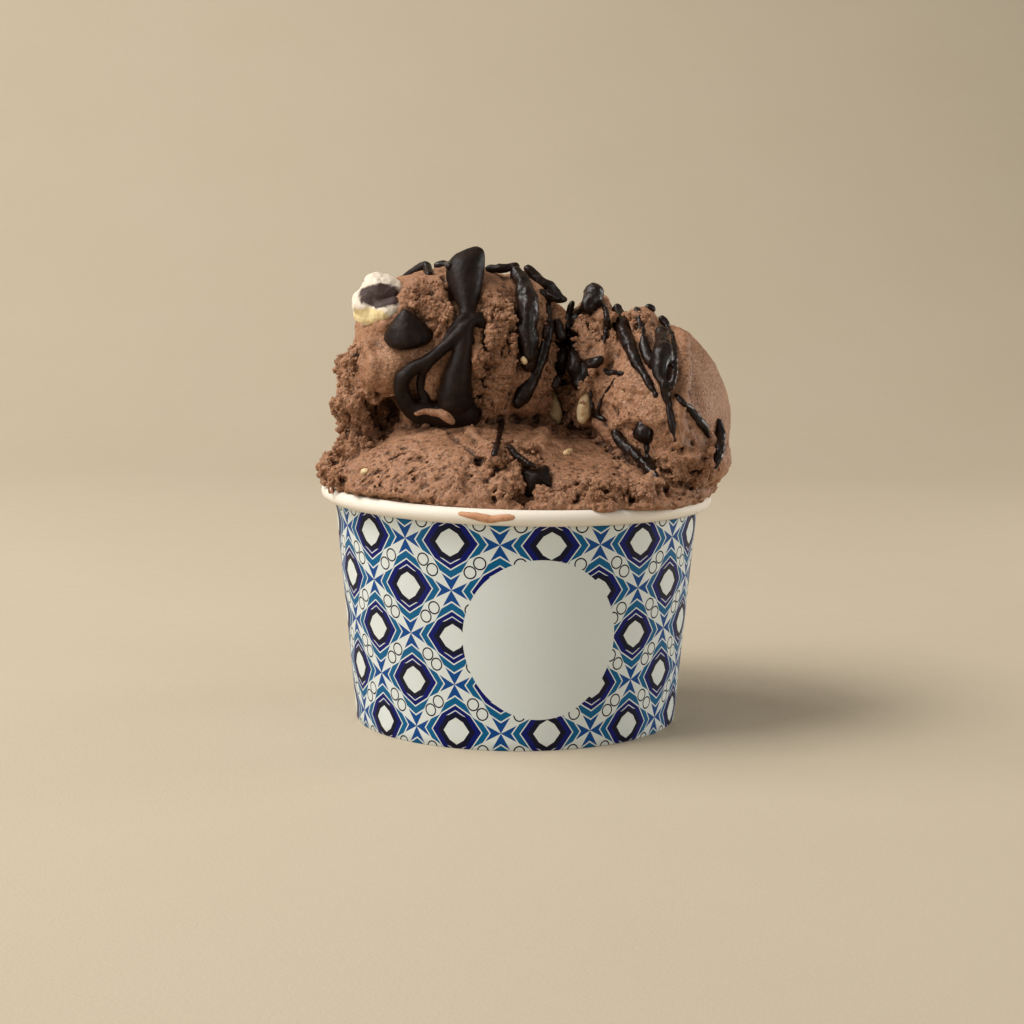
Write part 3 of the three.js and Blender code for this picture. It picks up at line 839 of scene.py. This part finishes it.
# Noise with features of the given size in millimetres, turned to a range of values
def speckle(tree, place, size, low, high, detail=3.0, least=0.0, most=1.0):
    noise = addNode(tree, "TexNoise", None, {"Vector": place, "Scale": 1 / size, "Detail": detail}, "Fac")
    spread = {"Value": noise, "From Min": low, "From Max": high, "To Min": least, "To Max": most}
    return addNode(tree, "MapRange", None, spread)


def closeMaterial(tree, colour, roughness, height, relief, constants):
    bump = addNode(tree, "Bump", None, {"Height": height, "Distance": relief * mm, "Strength": 1.0})
    inputs = {"Base Color": colour, "Roughness": roughness, "Normal": bump, **constants}
    shader = addNode(tree, "BsdfPrincipled", None, inputs)
    addNode(tree, "OutputMaterial", None, {"Surface": shader})


asColour = {"data_type": "RGBA"}

# Milk chocolate gelato, torn and smeared by a paddle: light goes a little way into the damp cream, and fine
# ice shows as pale specks and a dull, broken shine.
gelatoFinish = {
    "cream": "#865e43",
    "pale": "#986f53",
    # painted shade, mixed into hollows, fine crevices and pits
    "paintedShade": "#3a2215",
    "frost": "#bf9b7e",
    "streak": 9.0,  # mm
    "grain": 0.8,
    "strokeAngle": 28,  # degrees
    "pitSize": (1.35, 1.0, 0.85),
    "pitShade": 0.62,
    "creviceShade": 0.5,  # how much darker the finest hollows are
    "relief": 0.3,
    "roughness": (0.46, 0.66),
}


def gelatoMaterial(look):
    material, tree = newMaterial("milkChocolateGelato")
    place = millimetres(tree)
    streaks = speckle(tree, place, look["streak"], 0.36, 0.64)
    colour = addNode(tree, "Mix", asColour, {0: streaks, 6: linear(look["cream"]), 7: linear(look["pale"])}, 2)
    # painted shade: the heap's hollows are darkened towards the shade colour
    paintedHollowShade = addNode(tree, "Attribute", {"attribute_name": "paintedHollowShade"}, out="Fac")
    colour = addNode(tree, "Mix", asColour, {0: paintedHollowShade, 6: colour, 7: linear(look["paintedShade"])}, 2)
    frosty = addNode(tree, "Attribute", {"attribute_name": "frosty"}, out="Fac")
    frosty = addNode(tree, "Math", {"operation": "MULTIPLY_ADD"}, {0: frosty, 1: 0.35, 2: 0.45})
    frost = speckle(tree, place, 0.42, 0.52, 0.7, 2.0)
    frost = addNode(tree, "Math", {"operation": "MULTIPLY"}, {0: frost, 1: frosty})
    colour = addNode(tree, "Mix", asColour, {0: frost, 6: colour, 7: linear(look["frost"])}, 2)
    roughness = speckle(tree, place, 2.2, 0.3, 0.7, 3.0, *look["roughness"])
    torn = addNode(tree, "Attribute", {"attribute_name": "torn"}, out="Fac")
    fine = speckle(tree, place, look["grain"], 0.25, 0.75, 5.0)
    # painted shade: where the fine grain dips, the colour is darkened
    creviceShade = addNode(tree, "MapRange", None, {"Value": fine, "From Min": 0.44, "From Max": 0.2})
    creviceShade = addNode(tree, "Math", {"operation": "MULTIPLY"}, {0: creviceShade, 1: look["creviceShade"]})
    colour = addNode(tree, "Mix", asColour, {0: creviceShade, 6: colour, 7: linear(look["paintedShade"])}, 2)
    rougher = addNode(tree, "Math", {"operation": "MULTIPLY_ADD"}, {0: torn, 1: 0.8, 2: 0.6})
    height = addNode(tree, "Math", {"operation": "MULTIPLY"}, {0: fine, 1: rougher})
    # small holes, longer along the stroke, dented in the bump and darkened with painted shade
    pitted = addNode(tree, "Attribute", {"attribute_name": "pitted"}, out="Fac")
    turned = {"rotation_type": "Y_AXIS"}
    stroke = addNode(tree, "VectorRotate", turned, {"Vector": place, "Angle": math.radians(look["strokeAngle"])})
    stroke = addNode(tree, "VectorMath", {"operation": "DIVIDE"}, {0: stroke, 1: look["pitSize"]})
    pits = addNode(tree, "TexNoise", None, {"Vector": stroke, "Scale": 1.0, "Detail": 1.5}, "Fac")
    pits = addNode(tree, "MapRange", None, {"Value": pits, "From Min": 0.59, "From Max": 0.67})
    pits = addNode(tree, "Math", {"operation": "MULTIPLY"}, {0: pits, 1: pitted})
    shade = addNode(tree, "Math", {"operation": "MULTIPLY"}, {0: pits, 1: look["pitShade"]})
    colour = addNode(tree, "Mix", asColour, {0: shade, 6: colour, 7: linear(look["paintedShade"])}, 2)
    height = addNode(tree, "Math", {"operation": "MULTIPLY_ADD"}, {0: pits, 1: -1.4, 2: height})
    constants = {
        "Subsurface Weight": 0.22,
        "Subsurface Radius": (1.0, 0.45, 0.22),
        "Subsurface Scale": 1.1 * mm,
        "IOR": 1.4,
        "Specular IOR Level": 0.3,
    }
    closeMaterial(tree, colour, roughness, height, look["relief"], constants)
    return material


# The same gelato melted to a thin, paler film on the paper, with a paler painted shade in its fine crevices.
meltedFinish = {**gelatoFinish, "cream": "#b07f5c", "pale": "#c4997a", "paintedShade": "#8d6143", "relief": 0.05}

# Dark couverture that was poured, set and snapped: nearly black, with a satin face and a faint bloom.
chocolateFinish = {
    "name": "darkCouverture",
    "dark": "#130a06",
    "worn": "#23140c",
    "relief": 0.08,
    "roughness": (0.4, 0.58),
    "shine": 0.16,
}

# The same chocolate let down to a sauce: still wet, so it mirrors the room more sharply.
sauceFinish = {
    "name": "chocolateSauce",
    "dark": "#110805",
    "worn": "#24130b",
    "relief": 0.07,
    "roughness": (0.24, 0.42),
    "shine": 0.26,
}


def chocolateMaterial(look):
    material, tree = newMaterial(look["name"])
    place = millimetres(tree)
    worn = speckle(tree, place, 2.6, 0.4, 0.72)
    colour = addNode(tree, "Mix", asColour, {0: worn, 6: linear(look["dark"]), 7: linear(look["worn"])}, 2)
    roughness = speckle(tree, place, 1.6, 0.3, 0.7, 3.0, *look["roughness"])
    height = speckle(tree, place, 1.1, 0.2, 0.8, 4.0)
    closeMaterial(tree, colour, roughness, height, look["relief"], {"IOR": 1.47, "Specular IOR Level": look["shine"]})
    return material


# Roasted nut, chopped: a pale matt kernel with toasted patches.
nutFinish = {
    "kernel": "#d3b98f",
    "toasted": "#a37a4a",
    "relief": 0.16,
    "roughness": (0.45, 0.65),
}


def nutMaterial(look):
    material, tree = newMaterial("roastedNut")
    place = millimetres(tree)
    toasted = speckle(tree, place, 2.0, 0.46, 0.7)
    shades = {0: toasted, 6: linear(look["kernel"]), 7: linear(look["toasted"])}
    colour = addNode(tree, "Mix", asColour, shades, 2)
    roughness = speckle(tree, place, 1.2, 0.3, 0.7, 3.0, *look["roughness"])
    height = speckle(tree, place, 0.8, 0.2, 0.8, 4.0)
    constants = {"Subsurface Weight": 0.1, "Subsurface Scale": 0.6 * mm, "IOR": 1.45}
    closeMaterial(tree, colour, roughness, height, look["relief"], constants)
    return material


# A broken piece of nougat stained by chocolate: pale, dry and open, browner in its hollows.
nougatFinish = {
    "body": "#d3c6b4",
    "cream": "#d8c492",
    "brown": "#33201a",
    "tip": (-34.6, -20, 98.5, 5.6, 30, 2.2),  # the creamier end: its middle and reach
    "patch": (-32.2, -20, 103.5, 6.0, 30, 3.0),  # the stained part
    "relief": 0.12,
    "roughness": (0.6, 0.8),
}


def nougatMaterial(look):
    material, tree = newMaterial("nougat")
    place = millimetres(tree)
    wobble = addNode(tree, "TexNoise", None, {"Vector": place, "Scale": 1 / 2.4, "Detail": 3.0}, "Color")
    moved = addNode(tree, "VectorMath", {"operation": "MULTIPLY_ADD"}, {0: wobble, 1: (2.5, 2.5, 2.5), 2: place})
    colour = linear(look["body"])
    for spot, shade in (("tip", "cream"), ("patch", "brown")):
        centre, reach = np.array(look[spot][:3]) + cupAxis, look[spot][3:]
        away = addNode(tree, "VectorMath", {"operation": "SUBTRACT"}, {0: moved, 1: tuple(centre + 1.25)})
        away = addNode(tree, "VectorMath", {"operation": "DIVIDE"}, {0: away, 1: reach})
        away = addNode(tree, "VectorMath", {"operation": "LENGTH"}, {0: away}, "Value")
        inside = addNode(tree, "MapRange", None, {"Value": away, "From Min": 1.0, "From Max": 0.85})
        colour = addNode(tree, "Mix", asColour, {0: inside, 6: colour, 7: linear(look[shade])}, 2)
    specks = speckle(tree, place, 0.9, 0.66, 0.76, 2.0, 0.0, 0.3)
    colour = addNode(tree, "Mix", asColour, {0: specks, 6: colour, 7: linear(look["brown"])}, 2)
    roughness = speckle(tree, place, 1.5, 0.3, 0.7, 3.0, *look["roughness"])
    height = speckle(tree, place, 0.7, 0.2, 0.8, 5.0)
    closeMaterial(tree, colour, roughness, height, look["relief"], {"IOR": 1.45})
    return material


# Coated cup board, printed in blues over ivory: an even satin face, with the fibres just showing. The print
# is a tile pattern of hexagons and stars, worked out in millimetres of the flat sheet.
printFinish = {
    "paper": "#cad0cc",
    "rim": "#dbd3c5",
    "navy": "#070a22",
    "royal": "#020f5c",
    "teal": "#02557e",
    "star": "#03407e",
    "aged": "#8a7a60",
    "repeats": 11.7,
    "across": 23.3,  # mm from one hexagon to the next
    "up": 22.2,
    "turned": 10.6,  # degrees from the front to the first hexagon
    "lowest": 4.2,  # mm above the table
    "rays": (0.5, 0.6),  # how fast the rays between two hexagons widen, across and up
    # from the outside in: how far each field reaches, and where it is drawn
    "fields": [
        ("outer", 9.1, "all", "paper"),
        ("outer", 8.7, "rays", "teal"),
        ("cut", 7.0, "all", "paper"),
        ("cut", 6.65, "all", "royal"),
        ("inner", 5.3, "caps", "paper"),
        ("inner", 5.05, "all", "royal"),
        ("inner", 5.05, "flanks", "navy"),
        ("inner", 3.5, "all", "paper"),
    ],
    "loop": (1.4, 1.6, 0.17),  # radius of the small rings, how far apart they stand, half their line
    "plate": (8, 26.4, 18.9),  # the plain disc: degrees from the front, height, radius
    "fibre": 0.6,
    "relief": 0.03,
    "roughness": (0.42, 0.54),
}


def printMaterial(look):
    material, tree = newMaterial("printedCupBoard")
    around, height = look["repeats"] * look["across"], tubLook["height"]
    across, up = look["across"] / 2, look["up"] / 2
    uv = addNode(tree, "UVMap", {"uv_map": "print"})
    sheet = addNode(tree, "VectorMath", {"operation": "MULTIPLY"}, {0: uv, 1: (around, height, 0)})
    # fold the sheet to one quarter of a hexagon's field
    first = (around * look["turned"] / 360, look["lowest"], 0)
    spot = addNode(tree, "VectorMath", {"operation": "SUBTRACT"}, {0: sheet, 1: first})
    spot = addNode(tree, "VectorMath", {"operation": "WRAP"}, {0: spot, 1: (across, up, 1), 2: (-across, -up, -1)})
    spot = addNode(tree, "VectorMath", {"operation": "ABSOLUTE"}, {0: spot})
    share = {0: spot, 1: (1 / across, 1 / up, 0)}
    share = addNode(tree, "VectorMath", {"operation": "DOT_PRODUCT"}, share, "Value")
    beyond = addNode(tree, "Math", {"operation": "GREATER_THAN"}, {0: share, 1: 1.0})
    shift = addNode(tree, "VectorMath", {"operation": "SCALE"}, {0: (across, up, 0), "Scale": beyond})
    spot = addNode(tree, "VectorMath", {"operation": "SUBTRACT"}, {0: spot, 1: shift})
    spot = addNode(tree, "VectorMath", {"operation": "ABSOLUTE"}, {0: spot})
    spot = addNode(tree, "VectorMath", {"operation": "ADD"}, {0: spot, 1: (0, 0, 1)})

    # straight edges, each a weight for across, for up and for nothing
    edges = {
        "side": (1, 0.73, 0),
        "innerTop": (0.57, 1, 0.25),
        "outerTop": (0.6, 1, 0.5),
        "bevel": (0.67, 0.74, 1.2),
        "rayAcross": (-look["rays"][0], -1, look["rays"][0] * across),
        "rayUp": (-1, -look["rays"][1], look["rays"][1] * up),
        "flank": (-0.25, -1, 4.2),
        "cap": (0.25, 1, -4.2),
    }
    for name, weights in edges.items():
        edge = {0: spot, 1: weights}
        edges[name] = addNode(tree, "VectorMath", {"operation": "DOT_PRODUCT"}, edge, "Value")
    inner = addNode(tree, "Math", {"operation": "MAXIMUM"}, {0: edges["side"], 1: edges["innerTop"]})
    outer = addNode(tree, "Math", {"operation": "MAXIMUM"}, {0: edges["side"], 1: edges["outerTop"]})
    cut = addNode(tree, "Math", {"operation": "MAXIMUM"}, {0: outer, 1: edges["bevel"]})
    rays = addNode(tree, "Math", {"operation": "MAXIMUM"}, {0: edges["rayAcross"], 1: edges["rayUp"]})
    wheres = {"rays": rays, "flanks": edges["flank"], "caps": edges["cap"]}
    for name, value in wheres.items():
        wheres[name] = addNode(tree, "Math", {"operation": "GREATER_THAN"}, {0: value, 1: 0.0})
    wheres["all"] = 1.0

    paper, metrics = linear(look["paper"]), {"inner": inner, "outer": outer, "cut": cut}
    colour = addNode(tree, "Mix", asColour, {0: wheres["rays"], 6: paper, 7: linear(look["star"])}, 2)
    for metric, reach, where, shade in look["fields"]:
        inside = addNode(tree, "Math", {"operation": "LESS_THAN"}, {0: metrics[metric], 1: reach})
        inside = addNode(tree, "Math", {"operation": "MULTIPLY"}, {0: inside, 1: wheres[where]})
        colour = addNode(tree, "Mix", asColour, {0: inside, 6: colour, 7: linear(look[shade])}, 2)
    # two small rings lie on the line from star to star
    radius, apart, half = look["loop"]
    length = math.hypot(across, up)
    for side in (-apart, apart):
        middle = (across / 2 + side * across / length, up / 2 - side * up / length, 1)
        away = addNode(tree, "VectorMath", {"operation": "DISTANCE"}, {0: spot, 1: middle}, "Value")
        line = addNode(tree, "Math", {"operation": "COMPARE"}, {0: away, 1: radius, 2: half})
        colour = addNode(tree, "Mix", asColour, {0: line, 6: colour, 7: linear(look["navy"])}, 2)
    # a plain disc at the front, and nothing printed off the sheet's face
    angle, level, reach = look["plate"]
    place = addNode(tree, "VectorMath", {"operation": "SUBTRACT"}, {0: sheet, 1: (around * angle / 360, level, 0)})
    bounds = {0: place, 1: (around / 2, 4 * height, 1), 2: (-around / 2, -4 * height, -1)}
    place = addNode(tree, "VectorMath", {"operation": "WRAP"}, bounds)
    away = addNode(tree, "VectorMath", {"operation": "LENGTH"}, {0: place}, "Value")
    plate = addNode(tree, "Math", {"operation": "LESS_THAN"}, {0: away, 1: reach})
    colour = addNode(tree, "Mix", asColour, {0: plate, 6: colour, 7: paper}, 2)
    level = addNode(tree, "SeparateXYZ", None, {0: uv}, 1)
    off = addNode(tree, "Math", {"operation": "GREATER_THAN"}, {0: level, 1: 1.0})
    colour = addNode(tree, "Mix", asColour, {0: off, 6: colour, 7: linear(look["rim"])}, 2)

    place = millimetres(tree)
    aged = speckle(tree, place, 18.0, 0.3, 0.7, 4.0, 0.0, 0.03)
    colour = addNode(tree, "Mix", asColour, {0: aged, 6: colour, 7: linear(look["aged"])}, 2)
    roughness = speckle(tree, place, 3.0, 0.3, 0.7, 3.0, *look["roughness"])
    fibres = speckle(tree, place, look["fibre"], 0.2, 0.8, 4.0)
    closeMaterial(tree, colour, roughness, fibres, look["relief"], {"IOR": 1.46, "Specular IOR Level": 0.12})
    return material


# Uncoated inside of the cup board: matt, with fibres that show.
boardFinish = {
    "paper": "#e4dccb",
    "fibre": "#cdbfa6",
    "relief": 0.05,
    "roughness": (0.6, 0.75),
}


def boardMaterial(look):
    material, tree = newMaterial("cupBoard")
    place = millimetres(tree)
    fibres = speckle(tree, place, 0.7, 0.3, 0.75, 5.0)
    shades = {0: fibres, 6: linear(look["paper"]), 7: linear(look["fibre"])}
    colour = addNode(tree, "Mix", asColour, shades, 2)
    roughness = speckle(tree, place, 2.0, 0.3, 0.7, 3.0, *look["roughness"])
    closeMaterial(tree, colour, roughness, fibres, look["relief"], {"IOR": 1.46})
    return material


finishes = {
    "gelato": gelatoMaterial(gelatoFinish),
    "dark_chocolate": chocolateMaterial(chocolateFinish),
    "chocolate_sauce": chocolateMaterial(sauceFinish),
    "nut": nutMaterial(nutFinish),
    "pale_chunk": nougatMaterial(nougatFinish),
    "printed_paper": printMaterial(printFinish),
    "plain_paper": boardMaterial(boardFinish),
}
slots = {part["node"]: part["material_slot"] for part in frame["record"]["subparts"]}
for name, piece in toppings.items():
    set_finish(piece, slots[name])
made = [gelatoHeap, gelatoGrains, gelatoSmear, rimSmear, sauceThreads, nutCrumbs, tubWall, tubBase]
made += toppings.values()
for piece in made:
    piece.data.materials.clear()
    piece.data.materials.append(finishes[piece["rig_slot"]])
rimSmear.data.materials[0] = gelatoMaterial(meltedFinish)
for name, node in nodes.items():
    node.data.materials.clear()
    node.data.materials.append(finishes[slots[name]])
print("materials made:", len(finishes))

# ---- table, light and camera ----

stageLook = {
    "colour": "#b4a893",
    "cloud": "#b2a690",
    "width": 6000,
    "near": -3000,
    "far": 500,  # where the sweep starts to rise
    "curve": 700,
    "height": 3000,
    "steps": 24,
}


# A sheet of pale paper that sweeps up behind the cup
def makeStage(look):
    profile = [(look["near"], 0), (look["far"], 0)]
    for k in range(1, look["steps"] + 1):
        angle = k / look["steps"] * math.pi / 2
        rise = look["curve"] * (1 - math.cos(angle))
        profile.append((look["far"] + look["curve"] * math.sin(angle), rise))
    profile.append((look["far"] + look["curve"], look["height"]))
    points, count = [], len(profile)
    for x in (-look["width"] / 2, look["width"] / 2):
        points += [(x, y, z) for y, z in profile]
    faces = np.array([(i, i + count, i + count + 1, i + 1) for i in range(count - 1)])
    stage = newObject("sweep", np.array(points, float), faces)
    material, tree = newMaterial("palePaperSweep")
    place = millimetres(tree)
    cloud = speckle(tree, place, 90, 0.3, 0.7)
    shades = {0: cloud, 6: linear(look["colour"]), 7: linear(look["cloud"])}
    colour = addNode(tree, "Mix", asColour, shades, 2)
    roughness = speckle(tree, place, 6, 0.3, 0.7, 3.0, 0.75, 0.9)
    closeMaterial(tree, colour, roughness, speckle(tree, place, 0.8, 0.3, 0.7), 0.04, {"IOR": 1.4})
    stage.data.materials.append(material)
    return stage


makeStage(stageLook)

lightLook = {
    "lamps": {
        "key": {"place": (-540, -230, 840), "aim": (0, 0, 60), "size": 460, "power": 8.4},
        "left": {"place": (-800, -560, 260), "aim": (0, 0, 60), "size": 600, "power": 4.0},
        "right": {"place": (760, -560, 240), "aim": (0, 0, 60), "size": 460, "power": 1.5},
        "rim": {"place": (700, 260, 170), "aim": (0, 0, 80), "size": 300, "power": 2.6},
        "sweep": {"place": (-700, 300, 900), "aim": (100, 1200, 250), "size": 700, "power": 8.0},
    },
    "colour": (1.0, 0.97, 0.94),
    "sky": (0.92, 0.88, 0.83, 1),
    "strength": 0.37,
}


def addLights(look):
    for name, lamp in look["lamps"].items():
        data = bpy.data.lights.new(name, "AREA")
        data.shape = "SQUARE"
        data.size = lamp["size"] * mm
        data.energy = lamp["power"]
        data.color = look["colour"]
        light = bpy.data.objects.new(name, data)
        scene.collection.objects.link(light)
        light.location = toPlace(lamp["place"])
        aim = toPlace(lamp["aim"]) - light.location
        light.rotation_euler = aim.to_track_quat("-Z", "Y").to_euler()
    world = bpy.data.worlds.new("room")
    world.use_nodes = True
    background = world.node_tree.nodes["Background"]
    background.inputs["Color"].default_value = look["sky"]
    background.inputs["Strength"].default_value = look["strength"]
    scene.world = world
    scene.view_settings.view_transform = "Standard"


addLights(lightLook)

cameraLook = {"lens": 77.34, "place": (0, -534, 123), "down": 7.75, "turn": 0.112, "roll": 0.25}


def addCamera(look):
    data = bpy.data.cameras.new("camera")
    data.lens = look["lens"]
    data.sensor_width = 36
    camera = bpy.data.objects.new("camera", data)
    scene.collection.objects.link(camera)
    aim = Matrix.Rotation(math.radians(look["turn"]), 4, "Z")
    aim = aim @ Matrix.Rotation(math.radians(90 - look["down"]), 4, "X")
    aim = aim @ Matrix.Rotation(math.radians(look["roll"]), 4, "Z")
    camera.matrix_world = Matrix.Translation(toPlace(look["place"])) @ aim
    scene.camera = camera


addCamera(cameraLook)
print("light and camera placed")
